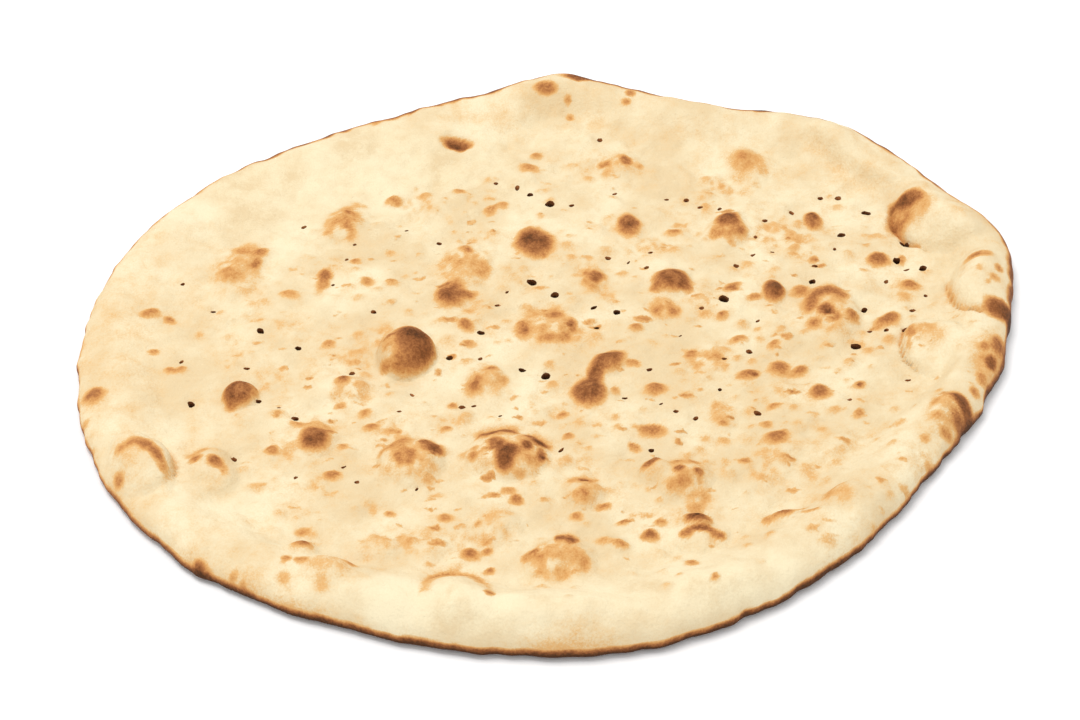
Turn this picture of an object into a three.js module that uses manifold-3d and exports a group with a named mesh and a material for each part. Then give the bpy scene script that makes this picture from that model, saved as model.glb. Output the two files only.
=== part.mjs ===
// A taftoon: a round leavened flatbread, baked as one piece of dough. Its thin middle was pricked all
// over before baking, so it stayed low, while the unpricked rim puffed up and gas blew blisters.
// Millimetres, +Z up. The origin is on the surface that the bread lies on, under the middle of it.
// Seen from the front, +X is to the right and +Y is away.

import * as THREE from "three";
import { mergeVertices } from "three/addons/utils/BufferGeometryUtils.js";
import Module from "manifold-3d";

// The stretched round of dough: an ellipse with a few soft bulges in its outline.
const LONG_AXIS = 406;
const SHORT_AXIS = 352;
const LONG_AXIS_TURN = 22; // degrees from +X
const BULGES = [
  { name: "corner at the right", at: 15.5, spread: 8.5, out: 9 },
  { name: "right shoulder", at: 46, spread: 7, out: 5 },
  { name: "hollow to the right of the tip", at: 66, spread: 13, out: -9.5 },
  { name: "tip at the back", at: 89, spread: 6, out: 6 },
  { name: "hollow to the left of the tip", at: 115, spread: 14, out: -3 },
  { name: "left side", at: 160, spread: 24, out: 6 },
  { name: "front left", at: 215, spread: 30, out: 2 },
  { name: "belly at the front", at: 280, spread: 25, out: 10 },
  { name: "flat at the front right", at: 333, spread: 19, out: -8 },
];

// The rim, from the edge inwards.
const EDGE_HEIGHT = 3; // of the widest part of the edge
const FOOT_IN = 8; // from the edge to where the underside lies flat
const CREST_IN = 14; // from the edge to the top of the rim
const RIM_WIDTH = 31; // from the edge to the foot of the inner slope
const WIDENINGS = [{ name: "long slope at the back left", at: 140, spread: 60, out: 22 }];
const RIM_HEIGHT = 13;
const SWELLS = [
  { name: "front", at: 272, spread: 40, out: 3 },
  { name: "tip at the back", at: 88, spread: 10, out: 4 },
  { name: "right", at: 8, spread: 22, out: 3 },
  { name: "left, which stayed low", at: 185, spread: 30, out: -3 },
  { name: "back left, which stayed low", at: 130, spread: 25, out: -3 },
];

// The pricked middle, which is not quite level.
const MIDDLE_THICKNESS = 5.5;
const MIDDLE_WAVE = 0.6;
const MIDDLE_WAVE_LENGTH = 70;

// Blisters: where each one stands, how far across and deep it is, its turn in degrees, and its rise.
const BLISTERS = [
  { x: -62, y: -23, across: 26, deep: 26, turn: 0, rise: 11 },
  { x: -19, y: -81, across: 34, deep: 32, turn: 0, rise: 8.5 },
  { x: -58, y: -86, across: 30, deep: 29, turn: 0, rise: 6.5 },
  { x: -160, y: -93, across: 26, deep: 38, turn: 20, rise: 7 },
  { x: -139, y: -97, across: 21, deep: 28, turn: 25, rise: 6 },
  { x: 167, y: 72, across: 22, deep: 34, turn: -10, rise: 9 },
  { x: 180, y: 14, across: 28, deep: 44, turn: 5, rise: 3.5 },
  { x: 161, y: -20, across: 28, deep: 36, turn: 0, rise: 4 },
  { x: 121, y: 5, across: 25, deep: 30, turn: 0, rise: 5 },
  { x: 55, y: -98, across: 26, deep: 24, turn: 0, rise: 5.5 },
  { x: 41, y: -94, across: 14, deep: 16, turn: -20, rise: 4 },
  { x: 58, y: -127, across: 20, deep: 16, turn: 0, rise: 5 },
  { x: 56, y: -119, across: 10, deep: 9, turn: 0, rise: 5 },
  { x: 3, y: -143, across: 32, deep: 30, turn: 0, rise: 6 },
  { x: 11, y: -103, across: 20, deep: 18, turn: 0, rise: 4 },
  { x: -21, y: -123, across: 18, deep: 18, turn: 0, rise: 3 },
  { x: -37, y: -161, across: 29, deep: 22, turn: 0, rise: 4 },
  { x: -86, y: -151, across: 25, deep: 22, turn: -25, rise: 4 },
  { x: -71, y: -136, across: 26, deep: 18, turn: 0, rise: 3.5 },
  { x: -98, y: -136, across: 14, deep: 12, turn: 0, rise: 3.5 },
  { x: -41, y: 35, across: 23, deep: 28, turn: 0, rise: 4 },
  { x: -44, y: 20, across: 17, deep: 17, turn: 0, rise: 3 },
  { x: -2, y: -1, across: 30, deep: 22, turn: 0, rise: 3.5 },
  { x: -28, y: -36, across: 21, deep: 21, turn: 0, rise: 3.5 },
  { x: 15, y: -42, across: 16, deep: 17, turn: 0, rise: 4 },
  { x: 23, y: -22, across: 14, deep: 16, turn: -30, rise: 3.5 },
  { x: -7, y: 55, across: 20, deep: 20, turn: 0, rise: 3.5 },
  { x: 53, y: 31, across: 19, deep: 18, turn: 0, rise: 4.5 },
  { x: -95, y: 67, across: 22, deep: 34, turn: -20, rise: 3 },
  { x: -139, y: 29, across: 26, deep: 36, turn: -20, rise: 4 },
  { x: -131, y: -49, across: 17, deep: 18, turn: 0, rise: 6 },
  { x: -98, y: -71, across: 21, deep: 20, turn: 0, rise: 4 },
  { x: 32, y: 114, across: 23, deep: 22, turn: 0, rise: 3.5 },
  { x: 91, y: 106, across: 25, deep: 28, turn: 0, rise: 5 },
  { x: 80, y: 63, across: 20, deep: 24, turn: 0, rise: 4.5 },
  { x: 36, y: 67, across: 14, deep: 14, turn: 0, rise: 3 },
  { x: 120, y: 72, across: 10, deep: 10, turn: 0, rise: 3.5 },
  { x: 97, y: 22, across: 11, deep: 13, turn: 0, rise: 4.5 },
  { x: 18, y: 34, across: 13, deep: 13, turn: 0, rise: 3 },
  { x: -86, y: -40, across: 17, deep: 16, turn: 0, rise: 3 },
  { x: 90, y: -118, across: 22, deep: 11, turn: 15, rise: 3 },
  { x: 111, y: -107, across: 19, deep: 18, turn: 30, rise: 4 },
  { x: 115, y: -75, across: 24, deep: 24, turn: 0, rise: 3 },
  { x: 156, y: -62, across: 20, deep: 24, turn: -25, rise: 3 },
];
const BLISTER_SKIRT = 3; // how deep a blister's side goes on down into the dough

// Holes that the docker's pins left open.
const HOLE_TOP = 3.4;
const HOLE_BOTTOM = 2.2;
const OPEN_HOLES = [
  [-1, 87],
  [-10, 93],
  [145, 81],
  [159, 58],
  [130, -13],
  [75, 18],
  [1, 21],
  [-9, 30],
  [-3, -32],
  [-13, -28],
  [-31, -4],
  [-45, -21],
  [-126, -4],
  [-123, -48],
  [-151, -51],
  [28, 10],
];

// How finely the solid is faceted.
const SEGMENTS = 120;
const LARGE_BLISTER = 18; // across, for more facets
const UNDER_ROLL_STEPS = 2;
const OUTER_ROLL_STEPS = 4;
const INNER_SLOPE_STEPS = 3;
const MIDDLE_RINGS = 5;

const UPRIGHT = new THREE.Vector3(0, 0, 1);
const wasm = await Module();
wasm.setup();

// The sum of soft bumps round the bread, in millimetres, at an angle in radians.
function bumpsAt(bumps, angle) {
  return bumps.reduce((sum, { at, spread, out }) => {
    const apart = THREE.MathUtils.radToDeg(angle) - at;
    const nearest = apart - 360 * Math.round(apart / 360);
    return sum + out * Math.exp(-((nearest / spread) ** 2));
  }, 0);
}

function edgeRadius(angle) {
  const turned = angle - THREE.MathUtils.degToRad(LONG_AXIS_TURN);
  const ellipse = 1 / Math.hypot(Math.cos(turned) / (LONG_AXIS / 2), Math.sin(turned) / (SHORT_AXIS / 2));
  return ellipse + bumpsAt(BULGES, angle);
}

function crestHeight(angle) {
  return RIM_HEIGHT + bumpsAt(SWELLS, angle);
}

function rimWidth(angle) {
  return RIM_WIDTH + bumpsAt(WIDENINGS, angle);
}

function middleHeight(x, y) {
  const phase = (2 * Math.PI) / MIDDLE_WAVE_LENGTH;
  return MIDDLE_THICKNESS + MIDDLE_WAVE * Math.sin(phase * x) * Math.cos(phase * y);
}

// The height of the crust without its blisters.
function crustHeight(x, y) {
  const angle = Math.atan2(y, x);
  const fromEdge = edgeRadius(angle) - Math.hypot(x, y);
  const crest = crestHeight(angle);
  if (fromEdge < CREST_IN) {
    const outwards = THREE.MathUtils.clamp(1 - fromEdge / CREST_IN, 0, 1);
    return EDGE_HEIGHT + (crest - EDGE_HEIGHT) * Math.sqrt(1 - outwards ** 2);
  }
  const slope = THREE.MathUtils.smoothstep(fromEdge, CREST_IN, rimWidth(angle));
  return THREE.MathUtils.lerp(crest, middleHeight(x, y), slope);
}

// Which way the crust faces on the whole, from its heights at a distance on either side.
function crustNormal(x, y, distance) {
  const fallX = crustHeight(x - distance, y) - crustHeight(x + distance, y);
  const fallY = crustHeight(x, y - distance) - crustHeight(x, y + distance);
  return new THREE.Vector3(fallX, fallY, 2 * distance).normalize();
}

// The rings of the bread's skin: from the foot of the rim, round its edge and over it to the middle.
// Each is a function from an angle to a distance from the middle and a height.
function skinRings() {
  const rings = [];
  for (let i = 0; i <= UNDER_ROLL_STEPS; i++) {
    const roll = (Math.PI / 2) * (1 - i / UNDER_ROLL_STEPS);
    rings.push((angle) => [
      edgeRadius(angle) - FOOT_IN * (1 - Math.cos(roll)),
      EDGE_HEIGHT * (1 - Math.sin(roll)),
    ]);
  }
  const onCrust = (angle, radius) => [
    radius,
    crustHeight(radius * Math.cos(angle), radius * Math.sin(angle)),
  ];
  for (let i = 1; i <= OUTER_ROLL_STEPS; i++) {
    const roll = (Math.PI / 2) * (i / OUTER_ROLL_STEPS);
    rings.push((angle) => onCrust(angle, edgeRadius(angle) - CREST_IN * (1 - Math.cos(roll))));
  }
  for (let i = 1; i <= INNER_SLOPE_STEPS; i++) {
    const share = i / INNER_SLOPE_STEPS;
    const fromEdge = (angle) => THREE.MathUtils.lerp(CREST_IN, rimWidth(angle), share);
    rings.push((angle) => onCrust(angle, edgeRadius(angle) - fromEdge(angle)));
  }
  for (let i = 1; i <= MIDDLE_RINGS; i++) {
    const share = 1 - i / (MIDDLE_RINGS + 1);
    rings.push((angle) => onCrust(angle, (edgeRadius(angle) - rimWidth(angle)) * share));
  }
  return rings;
}

// The bread without its blisters and holes: rings of points, closed at the middle above and below.
function crustGeometry() {
  const points = [];
  const faces = [];
  const rings = skinRings();
  for (const ring of rings) {
    for (let i = 0; i < SEGMENTS; i++) {
      const angle = (2 * Math.PI * i) / SEGMENTS;
      const [radius, height] = ring(angle);
      points.push(radius * Math.cos(angle), radius * Math.sin(angle), height);
    }
  }
  points.push(0, 0, 0, 0, 0, crustHeight(0, 0));
  const underMiddle = rings.length * SEGMENTS;
  const topMiddle = underMiddle + 1;
  const lastRing = (rings.length - 1) * SEGMENTS;
  for (let i = 0; i < SEGMENTS; i++) {
    const next = (i + 1) % SEGMENTS;
    faces.push(underMiddle, next, i);
    for (let ring = 0; ring < lastRing; ring += SEGMENTS) {
      const above = ring + SEGMENTS;
      faces.push(ring + i, ring + next, above + next, ring + i, above + next, above + i);
    }
    faces.push(lastRing + i, lastRing + next, topMiddle);
  }
  const geometry = new THREE.BufferGeometry();
  geometry.setAttribute("position", new THREE.Float32BufferAttribute(points, 3));
  return geometry.setIndex(faces);
}

// A blister: the cap of a ball on a skirt that stands in the dough, stretched to its plan. On a slope it
// leans half as far as the crust does.
function blisterGeometry({ x, y, across, deep, turn, rise }) {
  const half = across / 2;
  const ball = (half ** 2 + rise ** 2) / (2 * rise);
  const reach = Math.asin(half / ball);
  const axis = crustNormal(x, y, half).add(UPRIGHT).normalize();
  const steps = across > LARGE_BLISTER ? 4 : 3;
  const segments = across > LARGE_BLISTER ? 14 : 9;
  const profile = [new THREE.Vector2(0, -BLISTER_SKIRT), new THREE.Vector2(half, -BLISTER_SKIRT)];
  for (let i = 0; i < steps; i++) {
    const lean = reach * (1 - i / steps);
    profile.push(new THREE.Vector2(ball * Math.sin(lean), rise - ball * (1 - Math.cos(lean))));
  }
  profile.push(new THREE.Vector2(0, rise));
  return new THREE.LatheGeometry(profile, segments)
    .rotateX(Math.PI / 2)
    .scale(1, deep / across, 1)
    .rotateZ(THREE.MathUtils.degToRad(turn))
    .applyQuaternion(new THREE.Quaternion().setFromUnitVectors(UPRIGHT, axis))
    .translate(x, y, crustHeight(x, y));
}

// A docker pin, a little longer than the dough is thick.
function pinGeometry([x, y]) {
  const length = 4 * MIDDLE_THICKNESS;
  return new THREE.CylinderGeometry(HOLE_TOP / 2, HOLE_BOTTOM / 2, length, 8)
    .rotateX(Math.PI / 2)
    .translate(x, y, 0);
}

function solidOf(geometry) {
  geometry.deleteAttribute("normal");
  geometry.deleteAttribute("uv");
  const { attributes, index } = mergeVertices(geometry);
  const vertProperties = new Float32Array(attributes.position.array);
  return new wasm.Manifold(
    new wasm.Mesh({ numProp: 3, vertProperties, triVerts: new Uint32Array(index.array) }),
  );
}

function geometryOf(solid) {
  const { vertProperties, triVerts } = solid.getMesh();
  const geometry = new THREE.BufferGeometry();
  geometry.setAttribute("position", new THREE.BufferAttribute(vertProperties, 3));
  geometry.setIndex(new THREE.BufferAttribute(triVerts, 1));
  geometry.computeVertexNormals();
  return geometry;
}

let bread = solidOf(crustGeometry());
for (const blister of BLISTERS) bread = bread.add(solidOf(blisterGeometry(blister)));
for (const hole of OPEN_HOLES) bread = bread.subtract(solidOf(pinGeometry(hole)));

// The origin goes under the middle of the bread's box.
const shape = geometryOf(bread);
shape.computeBoundingBox();
const middle = shape.boundingBox.getCenter(new THREE.Vector3());
shape.translate(-middle.x, -middle.y, 0);

const bakedDough = new THREE.MeshStandardMaterial({ color: 0xf4dcae, roughness: 0.85, metalness: 0 });
const taftoon = new THREE.Mesh(shape, bakedDough);
taftoon.name = "taftoon";

export default new THREE.Group().add(taftoon);
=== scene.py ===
import math

import bpy
import numpy as np
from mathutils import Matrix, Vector
from mathutils.kdtree import KDTree


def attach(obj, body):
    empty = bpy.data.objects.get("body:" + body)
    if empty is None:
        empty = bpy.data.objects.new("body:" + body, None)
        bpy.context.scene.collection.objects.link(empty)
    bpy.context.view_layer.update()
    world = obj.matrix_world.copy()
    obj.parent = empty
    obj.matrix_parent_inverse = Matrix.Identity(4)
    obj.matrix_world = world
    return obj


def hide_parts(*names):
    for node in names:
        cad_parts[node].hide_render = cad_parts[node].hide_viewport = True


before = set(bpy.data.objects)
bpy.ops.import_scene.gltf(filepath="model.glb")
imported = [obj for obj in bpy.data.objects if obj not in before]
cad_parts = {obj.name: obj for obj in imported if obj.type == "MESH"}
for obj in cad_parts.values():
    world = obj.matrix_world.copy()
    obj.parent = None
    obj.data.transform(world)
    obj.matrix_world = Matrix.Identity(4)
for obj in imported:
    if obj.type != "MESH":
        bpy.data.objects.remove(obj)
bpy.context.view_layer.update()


# Round of dough
# A ball of leavened wheat dough, stretched by hand into a round and slapped onto a hot oven wall.
# It is one piece about 40 cm long. Lengths here are in millimetres from the middle of the dough.

MM = 0.001
DOUGH_MIDDLE = (-1.3, 1.65)  # where it lies, from the middle of the whole bread's box
LONG_AXIS = 406
SHORT_AXIS = 352
LONG_AXIS_TURN = 22  # degrees from +X
# Bulges of the outline: where round the edge in degrees, how many degrees wide, how far out.
BULGES = [
    (15.5, 8.5, 9),  # corner at the right
    (46, 7, 5),  # shoulder at the back right
    (66, 13, -9.5),  # hollow right of the tip
    (89, 6, 6),  # tip at the back
    (115, 14, -3),  # hollow left of the tip
    (160, 24, 6),  # full left side
    (215, 30, 2),
    (280, 25, 10),  # full front
    (333, 19, -8),  # flat stretch at the front right
]
EDGE_CRAGS = [(30, 0.6, 11), (10, 0.25, 12)]  # length, height, random seed
WAVES = 14  # in one ripple
WAVE_LENGTHS = (0.7, 1.5)  # of the ripple's length, the shortest and the longest wave in it


def ripple(x, y, length, seed):
    """Smooth uneven waves of about that length, mostly between -1 and 1."""
    draw = np.random.default_rng(seed)
    total = np.zeros_like(x)
    for _ in range(WAVES):
        heading = draw.uniform(0, 2 * math.pi)
        number = 2 * math.pi / (length * draw.uniform(*WAVE_LENGTHS))
        phase = draw.uniform(0, 2 * math.pi)
        total = total + np.sin(number * (x * math.cos(heading) + y * math.sin(heading)) + phase)
    return total / math.sqrt(WAVES)


def lumps(kinds, x, y):
    """The sum of ripples of several kinds, each with its length, height and random seed."""
    return sum(height * ripple(x, y, length, seed) for length, height, seed in kinds)


def smoothstep(value, low, high):
    """0 below low, 1 above high, and a smooth rise between them."""
    share = np.clip((value - low) / (high - low), 0, 1)
    return share * share * (3 - 2 * share)


def bumps_at(bumps, degrees):
    """The sum of bell-shaped bumps round the edge."""
    total = np.zeros_like(degrees)
    for at, spread, out in bumps:
        apart = (degrees - at + 180) % 360 - 180
        total = total + out * np.exp(-(apart / spread) ** 2)
    return total


def edge_radius(angle):
    """How far the edge lies from the dough's middle, without its crags."""
    turned = angle - math.radians(LONG_AXIS_TURN)
    ellipse = 1 / np.hypot(np.cos(turned) / (LONG_AXIS / 2), np.sin(turned) / (SHORT_AXIS / 2))
    return ellipse + bumps_at(BULGES, np.degrees(angle))


def edge_crags(angle):
    """How far the very edge stands out or in by its small crags."""
    return lumps(EDGE_CRAGS, LONG_AXIS / 2 * np.cos(angle), LONG_AXIS / 2 * np.sin(angle))


# The mesh is a square grid pressed into a round, so that its cells are alike from middle to edge.
RINGS = 148
ROLL_RINGS = 16  # of those, the ones on the outer face of the rim
steps = np.arange(-RINGS, RINGS + 1)
column, row = np.meshgrid(steps, steps, indexing="ij")
ring = np.maximum(np.abs(column), np.abs(row))
sideways = np.abs(column) > np.abs(row)
with np.errstate(divide="ignore", invalid="ignore"):
    angle = np.where(sideways, math.pi / 4 * row / column, math.pi / 2 - math.pi / 4 * column / row)
angle = np.where(ring == 0, 0, angle)
backwards = np.where(sideways, column < 0, row < 0)
angle = (angle + math.pi * backwards) % (2 * math.pi)


# Rim and middle
# The rim was left unpricked, so it puffed into a round edge roll, higher at the front and at the tip.
# The pricked middle stayed thin. Both are soft dough, so neither is level anywhere.

EDGE_HEIGHT = 3
FOOT_IN = 8  # from the edge to where the underside lies flat
CREST_IN = 14  # from the edge to the top of the rim
RIM_WIDTH = 31  # from the edge to the foot of the inner slope
# Where the inner slope is longer or shorter: degrees, how wide, by how much.
WIDENINGS = [(140, 60, 22), (86, 14, -8), (42, 14, 12), (275, 50, 9)]
RIM_HEIGHT = 13
ROLL_SQUARENESS = 0.75  # 1 for a round outer face, less for a flat top and a steep side
SWELLS = [(272, 40, 3), (88, 10, 4), (8, 22, 3), (185, 30, -3), (130, 25, -3)]  # degrees, how wide, how high
MIDDLE_THICKNESS = 5.5
MIDDLE_WAVE = 0.6
MIDDLE_WAVE_LENGTH = 70
RIM_LUMPS = [(46, 0.8, 21), (18, 0.45, 22), (8, 0.16, 26)]  # length, height, random seed
MIDDLE_LUMPS = [(30, 0.55, 23), (13, 0.45, 24), (6, 0.2, 25)]
RIM_WANDER = [(60, 3, 27), (22, 1.5, 28)]  # how the foot of the inner slope wanders
CRAGS_FROM = 0.6  # radians round the outer face, where the crags of the edge begin

inner_rings = RINGS - ROLL_RINGS
radius = edge_radius(angle)
roll_turn = np.clip((ring - inner_rings) / ROLL_RINGS, 0, 1) * math.pi / 2
from_middle = np.where(
    ring <= inner_rings,
    (radius - CREST_IN) * ring / inner_rings,
    radius - CREST_IN * (1 - np.sin(roll_turn) ** ROLL_SQUARENESS),
)
from_edge = radius - from_middle
from_middle = from_middle + edge_crags(angle) * smoothstep(roll_turn, CRAGS_FROM, math.pi / 2)
x = from_middle * np.cos(angle)
y = from_middle * np.sin(angle)
crest = RIM_HEIGHT + bumps_at(SWELLS, np.degrees(angle)) + lumps(RIM_LUMPS, x, y)
wave = 2 * math.pi / MIDDLE_WAVE_LENGTH
middle = MIDDLE_THICKNESS + MIDDLE_WAVE * np.sin(wave * x) * np.cos(wave * y) + lumps(MIDDLE_LUMPS, x, y)
rim_width = RIM_WIDTH + bumps_at(WIDENINGS, np.degrees(angle)) + lumps(RIM_WANDER, x, y)
inwards = smoothstep(from_edge, CREST_IN, rim_width)
roll_fall = np.maximum(np.cos(roll_turn), 0) ** ROLL_SQUARENESS
z = crest + (middle - crest) * inwards
z = np.where(ring > inner_rings, EDGE_HEIGHT + (crest - EDGE_HEIGHT) * roll_fall, z)
crust = np.stack([x, y, z], axis=-1)


# Folds of the rim
# Where the dough puffed hardest it folded over itself: lips of crust with a steep side and a soft back.
# A lip runs along a few points, raised on the left of them.

toast_and_shade = np.zeros_like(x)  # how dark each place is, from 0 to 1: toasting and painted shade, with painted light below 0
# Each lip: its points, its rise, how far its steep side reaches, how far back it fades,
# and how dark the painted shade in the groove at its foot is.
LIPS = [
    (((-152, -112), (-151, -100), (-154, -85), (-158, -77), (-164, -73)), 3, 2.4, 10, 0),
    (((112, 135), (122, 126), (130, 115), (140, 103), (149, 94), (154, 86)), 5.5, 5.5, 18, 0.03),
]
LIP_GROOVE = 0.22  # of the rise, the groove along its foot
LIP_GROOVE_WIDTH = 0.7  # of the steep side's reach
LIP_ENDS = 0.25  # of its length, over which it dies away at each end


def brown(where, dark, mask):
    """Darkens the crust further by a mask, at the places picked out: toasting, and at some places painted
    shade.
    """
    toast_and_shade[where] = 1 - (1 - toast_and_shade[where]) * (1 - dark * mask)


def from_line(x, y, points):
    """Distance from a line of a few points, the side (1 on the left), and how far along from 0 to 1."""
    nearest = np.full_like(x, np.inf)
    left = np.ones_like(x)
    along = np.zeros_like(x)
    lengths = [math.dist(a, b) for a, b in zip(points[:-1], points[1:])]
    done = 0
    for (ax, ay), (bx, by), length in zip(points[:-1], points[1:], lengths):
        share = np.clip(((x - ax) * (bx - ax) + (y - ay) * (by - ay)) / length ** 2, 0, 1)
        far = np.hypot(x - ax - share * (bx - ax), y - ay - share * (by - ay))
        nearer = far < nearest
        nearest = np.where(nearer, far, nearest)
        left = np.where(nearer, np.sign((bx - ax) * (y - ay) - (by - ay) * (x - ax)), left)
        along = np.where(nearer, (done + share * length) / sum(lengths), along)
        done += length
    return nearest, left, along


everywhere = np.ones_like(x, dtype=bool)
for points, rise, face, back, tan in LIPS:
    far, left, along = from_line(x, y, points)
    ends = smoothstep(along, 0, LIP_ENDS) * (1 - smoothstep(along, 1 - LIP_ENDS, 1))
    raised = np.where(left > 0, smoothstep(far, 0, face) * np.exp(-(far / back) ** 2), 0)
    groove = np.exp(-(far / (LIP_GROOVE_WIDTH * face)) ** 2)
    crust[..., 2] += rise * ends * (raised - LIP_GROOVE * groove)
    # The groove at a lip's foot is darkened: painted shade.
    brown(everywhere, tan, (ends * groove)[everywhere])


# Blisters
# Gas in the dough blew its thin skin up into blisters while it baked, and the fire browned their tops.
# Each is a bubble of the same crust, from 8 mm to 84 mm across, most of them tanned and toasted in spots.

BLISTER_SEED = 500  # of the first one; each further one has the next
BLISTER_REACH = 0.7  # of its longer way across, how far from its middle it is worked out
TWO_LOBED = (0.01, 0.04)  # how far a blister is drawn out of round two ways
THREE_LOBED = (0.01, 0.025)  # and three ways
TABLE_SQUARENESS = 6  # of one with a steep side, how flat its top is
LEAN = 0.5  # how much of the crust's slope a blister leans by
TAN_MOTTLE = 0.9  # how unevenly a blister is tanned
TAN_LIMITS = (0, 2)  # of that unevenness
TAN_FADE = (0.4, 1.08)  # how far out the tan begins to fade and where it ends
SPOT_MOTTLE = 0.5  # how unevenly a pale spot is toasted; a dark one is more even
SPOT_LIMITS = (0.2, 1.7)
SPOT_CORE = (0.1, 0.6)  # how far out a spot is fully toasted if pale, and how much further if darkest
SPOT_END = 1.25  # how far out its toasting ends
SPOT_RAGGED = 0.1  # how uneven its outline is
RIM_BREADTH = 0.24  # of a toasted rim, as a share of the way out
RIM_FULL = 0.6  # of a rim's or a crease's length, the share at full darkness
RIM_RAGGED = 0.12  # how uneven its ends are
CREASE_BREADTH = 1.1
BLOTCHES = lumps([(9, 0.6, 31), (4, 0.4, 32)], x, y)  # the uneven heat of the oven, place by place
blisters_made = 0


def along_and_aside(dx, dy, turn):
    """How far a place lies along a direction turned by so many degrees, and aside of it."""
    cos_turn = math.cos(math.radians(turn))
    sin_turn = math.sin(math.radians(turn))
    return dx * cos_turn + dy * sin_turn, dy * cos_turn - dx * sin_turn


def blister(at, size, rise, soft, turn=0, kept=10, tan=0, spots=(), rims=(), creases=()):
    """Blows one bubble up from the crust and toasts it, with painted shade in the creases at its foot.

    at is its middle, size how far it goes across and deep, rise its height. soft is how its foot runs out:
    gently at 1, as a ball does at 0, with a steep side all round at -1. kept is how near the edge of the
    round it fades out. tan is the toasting all over. A spot is given by how far right and back its middle
    lies, how wide and deep it is, all in shares of the bubble, and how dark it is. A rim is given by the
    degrees from where to where it goes, how far out it runs, and how dark it is. A crease is a groove along
    the foot, darkened with painted shade: from where to where, how deep, and how dark its shade is.
    """
    global blisters_made
    draw = np.random.default_rng(BLISTER_SEED + blisters_made)
    blisters_made += 1
    across, deep = size
    dx = crust[..., 0] - at[0]
    dy = crust[..., 1] - at[1]
    near = np.hypot(dx, dy) < max(size) * BLISTER_REACH
    dx = dx[near]
    dy = dy[near]
    along, aside = along_and_aside(dx, dy, turn)
    right = along / (across / 2)
    back = aside / (deep / 2)
    around = np.arctan2(back, right)
    uneven = 1 + draw.uniform(*TWO_LOBED) * np.sin(2 * around + draw.uniform(0, 2 * math.pi))
    uneven = uneven + draw.uniform(*THREE_LOBED) * np.sin(3 * around + draw.uniform(0, 2 * math.pi))
    out = np.hypot(right, back) / uneven

    share = np.minimum(out, 1)
    full_turn = 2 * math.atan(abs(rise) / ((across + deep) / 4))
    skin_turn = share * full_turn
    cap = (np.cos(skin_turn) - math.cos(full_turn)) / (1 - math.cos(full_turn))
    bell = (1 + np.cos(math.pi * share)) / 2
    table = 1 - share ** TABLE_SQUARENESS
    height = cap + (bell - cap) * soft if soft > 0 else cap + (cap - table) * soft
    height = rise * height * smoothstep(from_edge[near], 0, kept)
    spread = np.sin(skin_turn) / (math.sin(full_turn) * np.maximum(share, 1e-6))
    spread = np.where(out < 1, 1 + (spread - 1) * (1 - abs(soft)), 1)
    slope_x, slope_y, _ = np.linalg.lstsq(
        np.stack([dx, dy, np.ones_like(dx)], axis=-1), crust[near, 2], rcond=None
    )[0]
    lean = np.array([-slope_x * LEAN, -slope_y * LEAN, 1])
    lean = lean / np.linalg.norm(lean)
    moved = crust[near]
    moved[:, 0] = at[0] + dx * spread
    moved[:, 1] = at[1] + dy * spread
    crust[near] = moved + height[:, None] * lean

    blotch = BLOTCHES[near]
    if tan:
        mottle = np.clip(1 + TAN_MOTTLE * blotch, *TAN_LIMITS)
        brown(near, tan, mottle * (1 - smoothstep(out, *TAN_FADE)))
    for to_right, to_back, wide, long, dark in spots:
        far = np.hypot((right - to_right) / wide, (back - to_back) / long) + SPOT_RAGGED * blotch
        mottle = np.clip(1 + SPOT_MOTTLE * (1 - dark) * blotch, *SPOT_LIMITS)
        core = SPOT_CORE[0] + SPOT_CORE[1] * dark
        brown(near, dark, mottle * (1 - smoothstep(far, core, SPOT_END)))

    def between(start, end):
        """1 on the way round from start to end in degrees, and 0 elsewhere."""
        half = math.radians((end - start) / 2)
        apart = np.abs((around - math.radians((start + end) / 2) + math.pi) % (2 * math.pi) - math.pi)
        return 1 - smoothstep(apart + RIM_RAGGED * blotch, half * RIM_FULL, half)

    for start, end, way_out, dark in rims:
        brown(near, dark, np.exp(-((out - way_out) / RIM_BREADTH) ** 2) * between(start, end))
    for start, end, depth, dark in creases:
        groove = np.exp(-((out - 1) * (across + deep) / 4 / CREASE_BREADTH) ** 2) * between(start, end)
        crust[near, 2] -= depth * groove
        # The groove is darkened: painted shade.
        brown(near, dark, groove)


# Long low puffs of the rim itself, without toasting.
blister((-9, -177), (84, 32), 3, 0.4, turn=2)
blister((62, -163), (60, 28), 2.5, 0.7, turn=22)
blister((-72, -168), (46, 28), 2.5, 0.6, turn=-16)
blister((126, -118), (54, 28), 2.5, 0.7, turn=42)
blister((-178, -45), (30, 60), 2.5, 0.7, turn=12)
blister((-170, 62), (32, 70), 2, 0.8, turn=-38)
blister((-100, 125), (80, 30), 2, 0.8, turn=30)
blister((60, 158), (70, 26), 2, 0.7, turn=-12)
blister((118, 135), (60, 34), 3, 0.5, turn=-38)

# Puffs where the rim folded at the right: a finger, the lobe below it and a smaller puff.
blister((180, 74), (50, 46), 8.5, -0.6, turn=-20, kept=26, tan=0.04, creases=[(168, 266, 2.2, 0.24)], spots=[
    (-0.76, -0.02, 0.32, 0.2, 0.64), (-0.8, -0.4, 0.26, 0.4, 0.36), (-0.5, -0.25, 0.3, 0.36, 0.14)])
blister((195, 20), (42, 50), 6, -0.6, turn=8, kept=26, creases=[(135, 240, 1.8, 0.22)], spots=[
    (-0.22, 0.64, 0.32, 0.12, 0.42), (0.08, 0.3, 0.1, 0.12, 0.36), (-0.1, 0.05, 0.12, 0.12, 0.26),
    (-0.35, 0.25, 0.1, 0.12, 0.2), (-0.3, -0.1, 0.1, 0.1, 0.16), (-0.24, -0.7, 0.36, 0.26, 0.62),
    (0.08, -0.76, 0.32, 0.24, 0.62)])
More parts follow.
